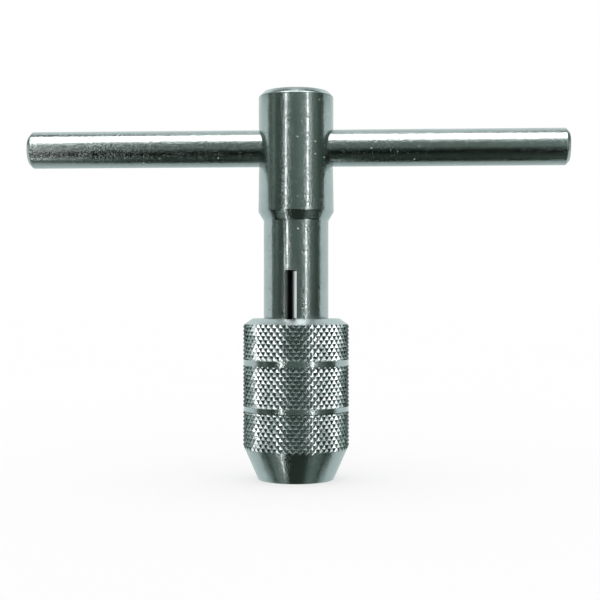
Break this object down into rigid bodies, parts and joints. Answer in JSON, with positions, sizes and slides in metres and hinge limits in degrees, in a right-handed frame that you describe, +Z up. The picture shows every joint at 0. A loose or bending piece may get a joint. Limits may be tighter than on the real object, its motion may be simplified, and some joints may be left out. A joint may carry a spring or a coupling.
{
  "type": "tap wrench",
  "caption": "T-handle tap wrench: sliding bar in a slotted spindle, knurled chuck nut closing notched jaws on a tap's square.",
  "frame": {"origin": "centre of the chuck nut's nose, on the face the tool stands on", "axes": "+X along the sliding bar, +Z up the spindle from the tap to the head, -Y towards the front of the slot"},
  "size_m": [0.1026, 0.0202, 0.0735],
  "materials": {
    "plated_steel": "bright nickel-chrome plating over turned steel",
    "plated_bar": "bright plating with fine pits on drawn bar",
    "plated_nut": "bright plating over a diamond knurl",
    "hardened_steel": "ground, lightly oiled",
    "turned_steel": "turned",
    "spring_steel": "drawn wire",
    "black_steel": "black oxide, oiled"
  },
  "bodies": {
    "spindle": {"spindle": "plated_steel", "friction_screw": "black_steel", "friction_spring": "spring_steel", "friction_ball": "hardened_steel", "plunger_spring": "spring_steel"},
    "handle_bar": {"handle_bar": "plated_bar"},
    "jaw_plunger": {"jaw_plunger": "turned_steel"},
    "chuck_nut": {"chuck_nut": "plated_nut"},
    "front_jaw": {"front_jaw": "hardened_steel"},
    "rear_jaw": {"rear_jaw": "hardened_steel"}
  },
  "joints": [
    {"name": "bar_slide", "type": "slide", "parent": "spindle", "child": "handle_bar", "axis": [1, 0, 0], "range_m": [-0.044, 0.044]},
    {"name": "plunger_slide", "type": "slide", "parent": "spindle", "child": "jaw_plunger", "axis": [0, 0, 1], "range_m": [0, 0.0033], "deforming": ["plunger_spring"]},
    {"name": "nut_turn", "type": "hinge", "parent": "jaw_plunger", "child": "chuck_nut", "pos_m": [0, 0, 0], "axis": [0, 0, 1], "range_deg": [0, 1188.01]},
    {"name": "front_jaw_slide", "type": "slide", "parent": "spindle", "child": "front_jaw", "axis": [0.1028, 0.9947, 0], "range_m": [0, 0.0012]},
    {"name": "rear_jaw_slide", "type": "slide", "parent": "spindle", "child": "rear_jaw", "axis": [-0.1028, -0.9947, 0], "range_m": [0, 0.0012]}
  ],
  "couplings": [
    {"joint": "nut_turn", "follows": "plunger_slide", "rad_per_m": 6283.2},
    {"joint": "front_jaw_slide", "follows": "plunger_slide", "ratio": 0.36397},
    {"joint": "rear_jaw_slide", "follows": "plunger_slide", "ratio": 0.36397}
  ]
}
